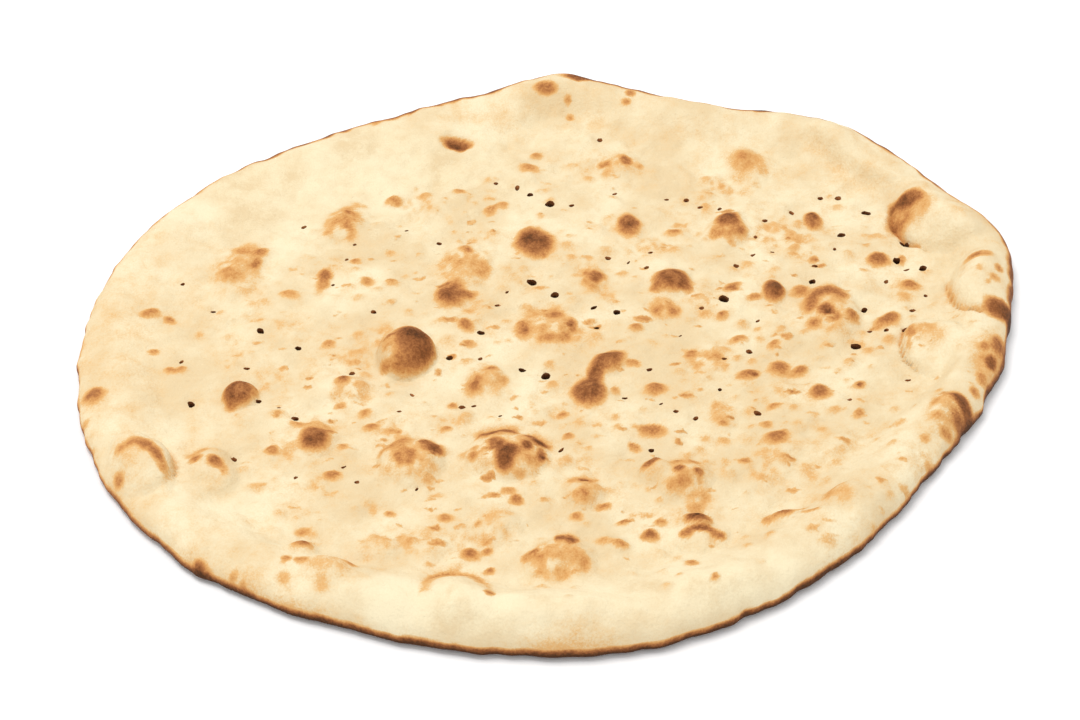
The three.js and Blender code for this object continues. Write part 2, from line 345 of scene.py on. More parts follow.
blister((163, -14), (27, 38), 5, -0.6, creases=[(125, 240, 1.6, 0.16)], spots=[
    (-0.66, 0.3, 0.2, 0.2, 0.42), (-0.2, 0.42, 0.4, 0.25, 0.22), (0, 0.15, 0.5, 0.4, 0.12),
    (-0.78, -0.05, 0.12, 0.25, 0.24)])

# The largest domes: the round one left of the middle and the two in front of it.
blister((-62.5, -19.5), (26.5, 29), 12, 0.05, tan=0.05, spots=[
    (0.3, -0.2, 0.58, 0.52, 0.58), (0.16, 0.2, 0.5, 0.34, 0.6), (0.5, -0.1, 0.4, 0.5, 0.3),
    (0, -0.66, 0.6, 0.24, 0.32), (-0.6, -0.6, 0.24, 0.22, 0.34), (-0.6, 0.3, 0.2, 0.3, 0.14)])
blister((-19, -81), (35, 33), 8.5, 0.15, tan=0.1, rims=[(62, 150, 0.76, 0.6), (8, 62, 0.78, 0.58)], spots=[
    (-0.22, 0.05, 0.19, 0.22, 0.58), (-0.04, -0.36, 0.22, 0.42, 0.64), (0.14, -0.22, 0.2, 0.2, 0.5),
    (0.42, 0, 0.15, 0.17, 0.56), (0.76, -0.15, 0.13, 0.27, 0.56), (-0.74, -0.2, 0.16, 0.16, 0.3),
    (-0.7, 0.05, 0.15, 0.12, 0.2), (0.3, -0.75, 0.15, 0.15, 0.2)])
blister((-58, -85), (30, 29), 7, 0.25, tan=0.1, rims=[(5, 72, 0.66, 0.58), (85, 165, 0.72, 0.24)], spots=[
    (0, 0, 0.15, 0.16, 0.4), (-0.1, -0.12, 0.5, 0.36, 0.18), (0.66, 0.3, 0.26, 0.22, 0.4),
    (-0.78, 0.3, 0.15, 0.25, 0.18), (0.5, -0.72, 0.18, 0.2, 0.22)])

# Blisters capped dark brown; the last one fell in again.
blister((-131, -45), (15.5, 18), 6.5, 0.1, tan=0.08, rims=[(-20, 70, 0.75, 0.24)], spots=[
    (-0.08, -0.12, 0.76, 0.72, 0.62), (-0.4, -0.8, 0.4, 0.3, 0.3)])
blister((-98, -71), (21, 23), 4.5, 0.4, tan=0.06, rims=[(20, 150, 0.74, 0.2)], spots=[
    (0.02, -0.1, 0.56, 0.62, 0.62), (-0.3, -0.5, 0.36, 0.3, 0.12)])
blister((-8, 59), (20, 25), 2.5, 0.5, tan=0.16, spots=[
    (0, 0, 0.92, 0.86, 0.58), (-0.05, 0.12, 0.5, 0.36, 0.42)])
blister((53, 31), (20, 21), 4.5, 0.35, tan=0.06, spots=[
    (0, -0.05, 0.92, 0.62, 0.6), (-0.1, -0.5, 0.7, 0.3, 0.22), (-0.8, -0.55, 0.3, 0.3, 0.32)])
blister((15, -42), (17, 21), 3.5, 0.4, tan=0.14, spots=[(0, 0, 0.92, 0.9, 0.6), (0.3, 0.9, 0.45, 0.45, 0.46)])
blister((23, -23), (21, 14), 3, 0.5, turn=38, tan=0.1, spots=[
    (0.05, 0, 0.88, 0.78, 0.52), (-0.75, -0.3, 0.42, 0.62, 0.42)])
blister((97.5, 24.5), (11, 17), 4, 0.25, tan=0.18, spots=[
    (-0.05, 0, 0.86, 0.86, 0.58), (0.15, 0.2, 0.45, 0.4, 0.4)])
blister((35, 71), (15, 22), 2.5, 0.5, tan=0.2, spots=[
    (0, 0.15, 0.7, 0.55, 0.54), (0.05, -0.35, 0.66, 0.5, 0.26)])
blister((119, 76), (9.5, 15), 3, 0.4, tan=0.12, spots=[(0, 0, 0.95, 0.92, 0.48), (0, 0.2, 0.5, 0.4, 0.2)])
blister((18, 34), (15, 18), 2.5, 0.5, tan=0.2, spots=[(0.12, 0, 0.46, 0.5, 0.52)])
blister((-101, 33), (8, 17), 1, 0.6, spots=[(0.05, 0.36, 0.88, 0.56, 0.52), (-0.1, -0.4, 0.85, 0.52, 0.4)])
blister((80, 69), (20, 28), 4.5, 0.4, tan=0.08, spots=[
    (-0.02, 0.25, 0.56, 0.44, 0.64), (0, -0.35, 0.8, 0.42, 0.2), (0.55, -0.1, 0.3, 0.36, 0.28),
    (-0.7, -0.35, 0.28, 0.28, 0.26), (0.1, -0.82, 0.2, 0.16, 0.28)])
blister((57, -119), (14, 10), 3.5, 0.3, tan=0.08, spots=[(0, 0.05, 0.76, 0.6, 0.62)])
blister((-45, 133), (17, 15), -2.5, 0.3, spots=[(0, -0.05, 0.92, 0.56, 0.6), (0, -0.2, 0.6, 0.34, 0.5)])

# Blisters browned in patches.
blister((121, 8), (27, 42), 6, 0.3, tan=0.08, rims=[(22, 195, 0.66, 0.52)], spots=[
    (-0.2, -0.02, 0.26, 0.19, 0.58), (0.12, -0.22, 0.18, 0.14, 0.36), (-0.6, -0.36, 0.32, 0.2, 0.28)])
blister((-39, 41), (27, 36), 4, 0.5, tan=0.14, spots=[
    (0.1, 0.5, 0.22, 0.16, 0.22), (0.62, -0.15, 0.3, 0.3, 0.24), (-0.7, 0.15, 0.24, 0.25, 0.2),
    (0.1, 0, 0.3, 0.2, 0.14)])
blister((-44, 22), (18, 22), 3, 0.4, tan=0.1, spots=[
    (-0.1, -0.05, 0.78, 0.82, 0.54), (0.78, -0.05, 0.35, 0.3, 0.34)])
blister((-2, -1), (32, 30), 3, 0.5, tan=0.12, rims=[(60, 150, 0.78, 0.16)], spots=[
    (-0.66, -0.05, 0.28, 0.5, 0.36), (-0.6, -0.1, 0.08, 0.22, 0.4), (0.64, 0.1, 0.16, 0.36, 0.42),
    (0.15, 0.55, 0.32, 0.22, 0.32), (0.05, -0.55, 0.42, 0.24, 0.28), (0.45, -0.25, 0.22, 0.4, 0.18)])
blister((-28, -36), (22, 28), 3.5, 0.5, tan=0.12, spots=[
    (-0.45, -0.2, 0.42, 0.5, 0.2), (0.6, 0, 0.3, 0.3, 0.2), (0.2, 0.5, 0.3, 0.2, 0.3),
    (-0.1, 0.2, 0.4, 0.3, 0.12)])
blister((52.5, -95.5), (26, 25), 5.5, 0.3, tan=0.05, rims=[(60, 140, 0.74, 0.2)], spots=[
    (-0.15, 0.12, 0.2, 0.2, 0.52), (0.4, 0.05, 0.18, 0.18, 0.54), (-0.05, -0.3, 0.34, 0.34, 0.24),
    (-0.4, -0.55, 0.24, 0.2, 0.16)])
blister((41, -91), (15, 17), 4, 0.35, turn=35, tan=0.05, spots=[(0.05, 0.3, 0.66, 0.32, 0.54)])
blister((58, -128), (24, 18), 4.5, 0.3, tan=0.05, spots=[
    (0, 0.28, 0.5, 0.26, 0.6), (-0.5, 0.02, 0.26, 0.26, 0.46), (0.5, 0, 0.3, 0.26, 0.5)])
blister((2, -141.5), (32, 30), 6, 0.35, tan=0.08, rims=[(46, 102, 0.66, 0.64)], spots=[
    (-0.7, 0.15, 0.26, 0.24, 0.36), (-0.45, 0, 0.16, 0.16, 0.2), (0.05, -0.55, 0.2, 0.18, 0.32),
    (0.6, -0.15, 0.16, 0.45, 0.16), (0.3, -0.05, 0.5, 0.5, 0.12)])
blister((11, -103), (20, 20), 4, 0.35, tan=0.07, rims=[(40, 140, 0.76, 0.26)], spots=[
    (0, -0.3, 0.36, 0.36, 0.34), (0.1, 0.7, 0.24, 0.12, 0.62)])
blister((-21, -123), (20, 22), 3, 0.5, tan=0.05, rims=[(40, 150, 0.76, 0.12)])
blister((-37, -170), (28, 46), 5, 0.3, tan=0.03, rims=[(84, 182, 0.86, 0.17), (-4, 84, 0.92, 0.13)],
        creases=[(30, 158, 0.3, 0.28)], spots=[(0.96, 0.04, 0.14, 0.08, 0.24)])
blister((-86, -151), (25, 22), 4, 0.5, turn=-25, tan=0.06, rims=[(20, 120, 0.7, 0.3)], spots=[
    (-0.9, -0.2, 0.28, 0.24, 0.34)])
blister((-71, -136), (26, 18), 3.5, 0.6, tan=0.03, rims=[(60, 130, 0.7, 0.1)])
blister((-98, -136), (14, 12), 3.5, 0.5, tan=0.1, spots=[(0, 0, 0.55, 0.42, 0.4)])
blister((-167, -91), (28, 38), 7.5, -0.1, turn=20, tan=0.06, creases=[(-80, 45, 1.8, 0.14)], spots=[
    (0.1, 0.27, 0.3, 0.2, 0.36), (0.3, 0.06, 0.24, 0.22, 0.4), (0.46, -0.17, 0.2, 0.25, 0.4),
    (0.55, -0.46, 0.15, 0.3, 0.36), (-0.66, -0.36, 0.18, 0.2, 0.3), (-0.3, 0.2, 0.3, 0.2, 0.18)])
blister((-138, -90.5), (22, 28), 6, 0.2, turn=25, tan=0.04, rims=[(60, 140, 0.8, 0.24)], spots=[
    (-0.42, 0.34, 0.26, 0.2, 0.46), (0.1, 0, 0.28, 0.22, 0.54), (0.3, -0.3, 0.18, 0.28, 0.32)])
blister((-94, 73), (23, 36), 3, 0.7, turn=-20, tan=0.14, spots=[
    (-0.1, 0.3, 0.18, 0.15, 0.34), (-0.35, -0.1, 0.2, 0.14, 0.26), (-0.4, -0.55, 0.2, 0.14, 0.22),
    (0.1, 0.8, 0.4, 0.14, 0.18)])
blister((-140, 39), (27, 38), 4, 0.6, turn=-20, tan=0.12, rims=[(50, 130, 0.78, 0.2)], spots=[
    (-0.3, 0.65, 0.4, 0.15, 0.2), (0.45, 0.35, 0.15, 0.25, 0.32), (0.1, 0.1, 0.5, 0.35, 0.12),
    (-0.1, -0.35, 0.5, 0.3, 0.14)])
blister((32, 117), (25, 26), 2.5, 0.6, tan=0.07, spots=[
    (0.22, 0.1, 0.24, 0.3, 0.5), (-0.6, 0.05, 0.27, 0.28, 0.32), (0, 0.1, 0.7, 0.4, 0.14),
    (-0.5, -0.5, 0.3, 0.24, 0.16), (0.68, -0.05, 0.2, 0.22, 0.18)])
blister((92, 117), (27, 32), 4, 0.6, tan=0.05, spots=[
    (-0.05, 0.1, 0.72, 0.6, 0.2), (-0.3, 0.1, 0.4, 0.4, 0.1), (0.5, -0.32, 0.2, 0.3, 0.16)])
blister((90, -118), (24, 11), 3, 0.4, turn=15, spots=[
    (0.1, 0, 0.38, 0.55, 0.46), (-0.45, -0.1, 0.3, 0.45, 0.32), (0.7, 0.15, 0.3, 0.3, 0.32)])
blister((116, -110), (20, 18), 4, 0.5, turn=30, tan=0.05, rims=[(60, 180, 0.7, 0.22)])
blister((115, -75), (26, 28), 3, 0.7, tan=0.05)
blister((161, -64), (22, 28), 3.5, 0.5, turn=-25, tan=0.12, spots=[
    (0.1, 0.5, 0.3, 0.2, 0.3), (0.3, 0.05, 0.25, 0.22, 0.26), (0.3, -0.7, 0.3, 0.2, 0.32),
    (-0.1, -0.4, 0.3, 0.15, 0.24), (-0.5, 0.1, 0.2, 0.2, 0.2)])
blister((49, 13), (16, 18), 2, 0.5, tan=0.12, spots=[(-0.5, 0, 0.45, 0.6, 0.24), (0.4, -0.1, 0.5, 0.6, 0.24)])
blister((-86, -40), (18, 19), 3, 0.5, tan=0.08)
blister((70, -55), (13, 24), 1.5, 0.6, tan=0.16)
blister((-191, -50), (12, 15), 2.5, 0.5, tan=0.14, spots=[(0, 0.2, 0.75, 0.75, 0.4)])
blister((23, -132), (17, 9), 2, 0.5, turn=-12, spots=[(0.35, 0, 0.5, 0.5, 0.4), (-0.45, 0.1, 0.5, 0.5, 0.26)])


# Small toasted bubbles and burnt rim
# Bubbles a few millimetres wide cover the middle, each with a toasted top; hundreds more are faint.
# The rim burnt in single patches where it touched the oven wall.

# Bubbles that show: where, how far across, and how dark.
BUBBLES = [
    # left
    (-174, 7, 6, 0.5), (-166, 5, 4, 0.45), (-170, -18, 4, 0.45), (-162, -29, 4, 0.42), (-157, -28, 4, 0.42),
    (-130, 52, 6, 0.42), (-116, 23, 7, 0.4), (-115, -77, 5, 0.48), (-96, -10, 5, 0.42), (-88, 46, 4, 0.48),
    (-88, -37, 5, 0.48), (-82, 32, 5, 0.42), (-71, 31, 5, 0.38), (-78, -55, 5, 0.4), (-75, -63, 5, 0.46),
    (-86, -74, 4, 0.4), (-106, -62, 5, 0.32), (-89, -92, 6, 0.53), (-65, -113, 4, 0.42),
    # back
    (-73, 90, 7, 0.42), (-43, 98, 5, 0.42), (-11, 115, 8, 0.42), (-7, 125, 5, 0.38), (-28, 84, 6, 0.43),
    (-23, 88, 6, 0.38), (55, 68, 6, 0.45),
    # middle
    (-38, 2, 6, 0.52), (-36, -10, 5, 0.4), (-43, -19, 3, 0.5), (-42, -49, 4, 0.44), (-44, -65, 4, 0.42),
    (4, -55, 4, 0.45), (6, -69, 4, 0.42), (26, -40, 4, 0.42), (34, -23, 5, 0.45), (36, 0, 5, 0.42),
    (43, -39, 8, 0.55), (41, -64, 8, 0.56), (33, -75, 5, 0.48),
    # right
    (59, -17, 5, 0.43), (74, 8, 5, 0.43), (80, 30, 6, 0.48), (89, 22, 5, 0.45), (80, -7, 6, 0.45),
    (95, -11, 5, 0.45), (96, -25, 8, 0.6), (83, -30, 7, 0.57), (70, -62, 3, 0.43), (92, -50, 4, 0.42),
    (88, -62, 5, 0.43), (92, -69, 8, 0.62), (105, -27, 6, 0.53), (112, -41, 8, 0.62), (127, -55, 5, 0.45),
    (129, -37, 5, 0.43), (117, 48, 4, 0.42), (109, 26, 7, 0.48), (130, 6, 6, 0.53), (146, 6, 9, 0.63),
    (158, 30, 7, 0.52), (146, 48, 8, 0.66), (156, 48, 4, 0.42),
    # front
    (-43, -116, 5, 0.48), (-15, -106, 5, 0.58), (-18, -101, 5, 0.42), (-33, -135, 6, 0.6),
    (-26, -134, 4, 0.48), (-25, -145, 4, 0.5), (-25, -169, 3, 0.43), (9, -115, 5, 0.48),
    (20, -109, 5, 0.48), (27, -119, 4, 0.42), (38, -126, 6, 0.53), (42, -119, 4, 0.43), (53, -144, 5, 0.45),
    (61, -160, 4, 0.43),
]
BUBBLE_RISE = 0.16  # of its width
BUBBLE_SEED = 61
BUBBLE_APART = 0.75  # of the sum of their widths, how near faint ones come to others
BUBBLE_LONGER = (1.04, 1.28)  # how far one is drawn out
BUBBLE_TURN = 32  # degrees, how far those at the right are turned, the way the dough was stretched
BUBBLE_TURN_FROM = (20, 110)  # how far right the turn begins and where it is full
BUBBLE_TURN_SHAKE = 20  # degrees
BUBBLE_REACH = 2  # of its width, how far from its middle it is worked out
BUBBLE_DARKNESS = 0.84
BUBBLE_CORE = (0.05, 0.5)  # how far out it is fully toasted if pale, and how much further if darkest
BUBBLE_END = 1.45  # how far out its toasting ends
BUBBLE_BACK = 0.3  # how much sooner its toasting ends at the back than at the front
CLUSTERS = 150  # groups of bubbles too small and faint to place one by one
CLUSTER_SIZE = (3, 7)
CLUSTER_SPREAD = 9
FAINT_WIDTH = (2.5, 6.5)
FAINT_DARKNESS = (0.04, 0.22)
FAINT_MIDDLE = (16, -22)
FAINT_REACH = (165, 140)


def faint_place(draw):
    """A place in the pricked middle, drawn at random."""
    way = draw.uniform(0, 2 * math.pi)
    far = math.sqrt(draw.uniform(0, 1))
    at_x = FAINT_MIDDLE[0] + FAINT_REACH[0] * far * math.cos(way)
    at_y = FAINT_MIDDLE[1] + FAINT_REACH[1] * far * math.sin(way)
    return at_x, at_y


def from_patch(at_x, at_y, across, deep, turn=0):
    """How far out each place lies from the middle of a patch, with 1 at its outline."""
    along, aside = along_and_aside(x - at_x, y - at_y, turn)
    return np.hypot(along / (across / 2), aside / (deep / 2))


draw = np.random.default_rng(BUBBLE_SEED)
small_bubbles = list(BUBBLES)
for _ in range(CLUSTERS):
    cluster_x, cluster_y = faint_place(draw)
    for _ in range(draw.integers(*CLUSTER_SIZE)):
        at_x = cluster_x + draw.normal(0, CLUSTER_SPREAD)
        at_y = cluster_y + draw.normal(0, CLUSTER_SPREAD)
        across = draw.uniform(*FAINT_WIDTH)
        dark = draw.uniform(*FAINT_DARKNESS)
        if all(math.dist((at_x, at_y), other[:2]) > (across + other[2]) * BUBBLE_APART
               for other in small_bubbles):
            small_bubbles.append((at_x, at_y, across, dark))
for at_x, at_y, across, dark in small_bubbles:
    longer = draw.uniform(*BUBBLE_LONGER)
    turn = BUBBLE_TURN * smoothstep(at_x, *BUBBLE_TURN_FROM) + draw.normal(0, BUBBLE_TURN_SHAKE)
    dx = crust[..., 0] - at_x
    dy = crust[..., 1] - at_y
    near = np.hypot(dx, dy) < across * BUBBLE_REACH
    along, aside = along_and_aside(dx[near], dy[near], turn)
    out = np.hypot(along / longer, aside * longer) / (across / 2)
    crust[near, 2] += BUBBLE_RISE * across * np.exp(-out ** 2)
    out = out * (1 + BUBBLE_BACK * np.clip(dy[near] / (across / 2), -1, 1)) + SPOT_RAGGED * BLOTCHES[near]
    core = BUBBLE_CORE[0] + BUBBLE_CORE[1] * dark
    brown(near, BUBBLE_DARKNESS * dark, 1 - smoothstep(out, core, BUBBLE_END))

# Wide faint smudges between the bubbles.
SMUDGES = 90
SMUDGE_SEED = 62
SMUDGE_WIDTH = (8, 20)
SMUDGE_DARKNESS = (0.05, 0.13)
SMUDGE_EVEN = 0.7  # how much of it is there everywhere
SMUDGE_MOTTLE = 0.9  # how much comes and goes
SMUDGE_LIMITS = (0, 1.8)
SMUDGE_REACH = 2.5  # how far out it is worked out
draw = np.random.default_rng(SMUDGE_SEED)
for _ in range(SMUDGES):
    at_x, at_y = faint_place(draw)
    across = draw.uniform(*SMUDGE_WIDTH)
    out = from_patch(at_x, at_y, across, across)
    mask = np.exp(-out ** 2) * np.clip(SMUDGE_EVEN + SMUDGE_MOTTLE * BLOTCHES, *SMUDGE_LIMITS)
    near = out < SMUDGE_REACH
    brown(near, draw.uniform(*SMUDGE_DARKNESS), mask[near])

# Burnt patches of the rim: where, how far across and deep, turn in degrees, and how dark.
RIM_PATCHES = [
    # back
    (-3, 167, 11, 7, 12, 0.62), (8, 163, 4, 4, 0, 0.4), (9, 156, 4, 4, 0, 0.38), (38, 165, 5, 6, 0, 0.55),
    (36, 158, 5, 4, 0, 0.42), (101, 153, 9, 7, 0, 0.75), (-29, 172, 6, 4, 0, 0.5), (131, 137, 4, 4, 0, 0.3),
    (13, 176, 16, 5, 0, 0.8),
    # right
    (184, -28, 17, 34, -18, 0.24), (189, -20, 6, 12, -15, 0.6), (184, -31, 5, 8, -20, 0.75),
    (182, -24, 5, 6, 0, 0.3), (179, -41, 5, 7, 0, 0.4), (175, -49, 5, 6, 0, 0.5),
    (169, -59, 7, 15, 25, 0.85), (166, -68, 6, 7, 0, 0.55), (151, -78, 4, 4, 0, 0.35),
    # left
    (-193, -65, 4, 5, 0, 0.24), (-188, -81, 4, 5, 0, 0.24),
    # front
    (-137, -146, 7, 5, -20, 0.46), (-138, -147, 5, 6, 0, 0.6), (-134, -149, 5, 5, 0, 0.46),
    (-130, -153, 7, 5, -20, 0.8), (-123, -152, 4, 4, 0, 0.3), (-120, -157, 4, 5, 0, 0.4),
    (-103, -147, 4, 4, 0, 0.5), (-99, -124, 7, 4, 15, 0.38), (-103, -156, 6, 6, 0, 0.22),
    (-88, -162, 7, 7, 0, 0.18), (99, -153, 6, 5, 0, 0.4),
]
PATCH_DARKNESS = 0.8
PATCH_CORE = 0.7  # how far out the darkest patch is fully burnt
PATCH_END = 1.4  # how far out its burning ends
PATCH_REACH = 2  # how far out a patch is worked out
for at_x, at_y, across, deep, turn, dark in RIM_PATCHES:
    out = from_patch(at_x, at_y, across, deep, turn) + RIM_RAGGED * BLOTCHES
    near = out < PATCH_REACH
    brown(near, PATCH_DARKNESS * dark, 1 - smoothstep(out[near], PATCH_CORE * dark, PATCH_END))

# Broad faint darkening of slopes turned away from the light, painted shade with a little tan: where, how far
# across and deep, how dark.
SHADED_SLOPES = [
    (146, 104, 46, 56, 0.02), (5, 152, 90, 24, 0.03), (-45, 148, 30, 20, 0.04), (-97, -157, 90, 40, 0.03),
    (-104, -168, 76, 22, 0.03), (4, -186, 44, 16, 0.1), (-182, -10, 46, 120, 0.05),
]
for at_x, at_y, across, deep, dark in SHADED_SLOPES:
    out = from_patch(at_x, at_y, across, deep)
    near = out < PATCH_REACH
    brown(near, dark, np.exp(-out[near] ** 2))

# Paler places of the rim, painted light in the pale colour of flour: where, how far across and deep, how much
# paler.
PAINTED_LIGHT_PATCHES = [
    (-26, -172, 120, 32, 0.14), (72, -160, 84, 40, 0.1), (-125, 108, 140, 90, 0.07),
    (-55, 105, 120, 60, 0.05),
]
PAINTED_LIGHT_HIDDEN = 0.2  # how toasted the crust is where no painted light shows
for at_x, at_y, across, deep, pale in PAINTED_LIGHT_PATCHES:
    out = from_patch(at_x, at_y, across, deep)
    toast_and_shade -= pale * np.exp(-out ** 2) * (1 - smoothstep(toast_and_shade, 0, PAINTED_LIGHT_HIDDEN))


# Crust skin
# The dough's own outside, closed all round: the top, the rim rolled under to its foot, the flat underside.
# The docker's pins pricked it before baking; some holes stayed open right through, others closed again.

FOOT_RINGS = 5  # of the mesh, from the edge in to the flat underside
# Holes that stayed open: where they are and how far across.
OPEN_HOLES = [
    (-1, 88.5, 5), (-10, 95, 3), (144, 82, 4.4), (159, 60, 4.4), (130, -11, 4.6), (75, 20, 4.4),
    (1, 22.5, 4.2), (-9, 32, 4.4), (-3, -30.5, 4.4), (-13, -26.5, 3.4), (-31, -2.5, 3.4), (-44, -20, 3),
    (-126, -3, 3.2), (-123, -47, 2.6), (-151, -49, 2.8), (28, 11, 3.6), (131, 66, 4), (136, 12.5, 3.4),
    (115, 32.5, 3.6), (40, -77, 2.6), (70, -40, 1.8), (154, 47, 3.8), (165, 41, 4), (-109, -13.5, 3),
    (18, 14, 3.4),
]
OPEN_HOLE_NARROWING = 0.55  # of its width, at the underside
OPEN_HOLE_FLATNESS = (0.7, 1.1)  # of its width, the other way
OPEN_HOLE_BOTTOM = -1  # just below the underside, so that it goes right through
# Pricks that closed again: where they are.
CLOSED_HOLES = [
    (23, 139), (-113, 72), (-163, 28), (-148, 11), (-158, -23), (-130, -26), (-114, -52), (-107, -58),
    (-130, -82), (-79, -97), (-55, -100), (-104, -93), (-85, -87), (-66, 68), (-89, 59), (-92, 48),
    (-51, 59), (-26, 104), (-16, 100), (9, 88), (29, 97), (53, 92), (62, 91), (68, 86), (77, 85), (97, 76),
    (92, 64), (90, 52), (99, 54), (25, 49), (34, 46), (42, 42), (44, 52), (82, 43), (110, 83), (127, 55),
    (117, 43), (124, 93), (132, 93), (-20, 24), (-24, 16), (19, 1), (55, -4), (65, 13), (89, 5), (73, -20),
    (84, -15), (30, -44), (41, -27), (45, -49), (51, -54), (59, -58), (85, -54), (3, -77), (-22, -56),
    (-33, -50), (-38, -50), (-31, -19), (-64, -54), (-59, -42), (-85, -30), (-97, 30), (-78, 11), (137, -1),
    (144, -2), (152, -1), (164, 22), (157, 12), (124, -46), (150, -33), (148, 34), (158, 42),
]
CLOSED_WIDTH = (1.8, 3.2)
CLOSED_FLATNESS = (0.5, 1)  # of its width, the other way
CLOSED_DEPTH = (1.2, 2.6)
CLOSED_NARROWING = 0.3
PIN_SEED = 71
PIN_SIDES = 10
PIN_TURN = (-10, 60)  # degrees
PIN_SHAKE = 0.15  # how uneven a hole's outline is
PIN_LEAN = 0.8  # how far a hole slants from top to bottom
PIN_ABOVE = 6  # how far a pin reaches above the crust, so that it cuts cleanly
DIMPLE_WIDTH = 1.5  # of the hole's
DIMPLE_DEPTH = 0.3  # of the hole's width
DIMPLE_FALL = 2  # how soon it runs out

draw = np.random.default_rng(PIN_SEED)
# Each hole: place, width, the other width, turn, and depth, or none where it goes right through.
holes = []
for at_x, at_y, across in OPEN_HOLES:
    flatness = draw.uniform(*OPEN_HOLE_FLATNESS)
    holes.append((at_x, at_y, across, across * flatness, draw.uniform(*PIN_TURN), None))
for at_x, at_y in CLOSED_HOLES:
    across = draw.uniform(*CLOSED_WIDTH)
    flatness = draw.uniform(*CLOSED_FLATNESS)
    turn = draw.uniform(*PIN_TURN)
    holes.append((at_x, at_y, across, across * flatness, turn, draw.uniform(*CLOSED_DEPTH)))

for at_x, at_y, across, other, _, _ in holes:
    out = np.hypot(crust[..., 0] - at_x, crust[..., 1] - at_y) / (DIMPLE_WIDTH * max(across, other))
    crust[..., 2] -= DIMPLE_DEPTH * across * np.exp(-out ** 2 * DIMPLE_FALL)
flat_crust = crust.reshape(-1, 3)

side = 2 * RINGS + 1
order = np.arange(side * side).reshape(side, side)
top_faces = np.stack([order[:-1, :-1], order[1:, :-1], order[1:, 1:], order[:-1, 1:]], axis=-1).reshape(-1, 4)
edge_loop = np.concatenate([order[:-1, 0], order[-1, :-1], order[:0:-1, -1], order[0, :0:-1]])

edge_angle = angle.reshape(-1)[edge_loop]
edge_out = from_middle.reshape(-1)[edge_loop]
points = [flat_crust]
faces = top_faces.tolist()
loop = edge_loop
for step in range(1, FOOT_RINGS + 1):
    turn = math.pi / 2 * step / FOOT_RINGS
    out = edge_out - FOOT_IN * (1 - math.cos(turn))
    level = np.full_like(out, EDGE_HEIGHT * (1 - math.sin(turn)))
    points.append(np.stack([out * np.cos(edge_angle), out * np.sin(edge_angle), level], axis=-1))
    next_loop = np.arange(len(loop)) + sum(len(p) for p in points[:-1])
    faces += np.stack([loop, next_loop, np.roll(next_loop, -1), np.roll(loop, -1)], axis=-1).tolist()
    loop = next_loop
faces.append(loop[::-1].tolist())

dough = bpy.data.meshes.new("taftoon")
dough.from_pydata(np.concatenate(points).tolist(), [], faces)
bread = bpy.data.objects.new("taftoon_bread", dough)
bpy.context.collection.objects.link(bread)

pin_points = []
pin_faces = []
mouths = []
for at_x, at_y, across, other, turn, depth in holes:
    nearest = np.argmin(np.hypot(flat_crust[:, 0] - at_x, flat_crust[:, 1] - at_y))
    top = flat_crust[nearest, 2]
    mouths.append(top)
    is_open = depth is None
    bottom = OPEN_HOLE_BOTTOM if is_open else top - depth
    narrowing = OPEN_HOLE_NARROWING if is_open else CLOSED_NARROWING
    lean_x, lean_y = draw.uniform(-PIN_LEAN, PIN_LEAN, 2)
    shape = 1 + draw.uniform(-PIN_SHAKE, PIN_SHAKE, PIN_SIDES)
    cos_turn = math.cos(math.radians(turn))
    sin_turn = math.sin(math.radians(turn))
    first = len(pin_points)
    for level, size, shift in ((top + PIN_ABOVE, 1, 0), (top, 1, 0), (bottom, narrowing, 1)):
        for corner in range(PIN_SIDES):
            way = 2 * math.pi * corner / PIN_SIDES
            along = across / 2 * size * shape[corner] * math.cos(way)
            aside = other / 2 * size * shape[corner] * math.sin(way)
            pin_points.append((
                at_x + along * cos_turn - aside * sin_turn + lean_x * shift,
                at_y + along * sin_turn + aside * cos_turn + lean_y * shift,
                level,
            ))
    for corner in range(PIN_SIDES):
        beside = (corner + 1) % PIN_SIDES
        for upper in (first, first + PIN_SIDES):
            lower = upper + PIN_SIDES
            pin_faces.append((upper + corner, lower + corner, lower + beside, upper + beside))
    pin_faces.append(tuple(first + corner for corner in range(PIN_SIDES)))
    pin_faces.append(tuple(first + 2 * PIN_SIDES + corner for corner in reversed(range(PIN_SIDES))))

pins_mesh = bpy.data.meshes.new("docker_pins")
pins_mesh.from_pydata(pin_points, [], pin_faces)
pins_mesh.attributes.new("hole_wall", "FLOAT", "FACE").data.foreach_set("value", np.ones(len(pin_faces)))
pins = bpy.data.objects.new("docker_pins", pins_mesh)
bpy.context.collection.objects.link(pins)
prick = bread.modifiers.new("prick", "BOOLEAN")
prick.operation = "DIFFERENCE"
prick.solver = "MANIFOLD"
prick.object = pins
bpy.context.view_layer.update()
pricked = bpy.data.meshes.new_from_object(bread.evaluated_get(bpy.context.evaluated_depsgraph_get()))
bread.modifiers.clear()
bread.data = pricked
bpy.data.objects.remove(pins)

count = len(pricked.vertices)
place = np.empty(count * 3)
pricked.vertices.foreach_get("co", place)
place = place.reshape(-1, 3)

# Each point of the pricked crust takes the toasting and painted shade of the nearest point of the whole
# crust.
crust_tree = KDTree(len(flat_crust))
for number, point in enumerate(flat_crust):
    crust_tree.insert(point, number)
crust_tree.balance()
nearest = [crust_tree.find(point)[1] for point in place]
skin_toast_and_shade = toast_and_shade.reshape(-1)[nearest]

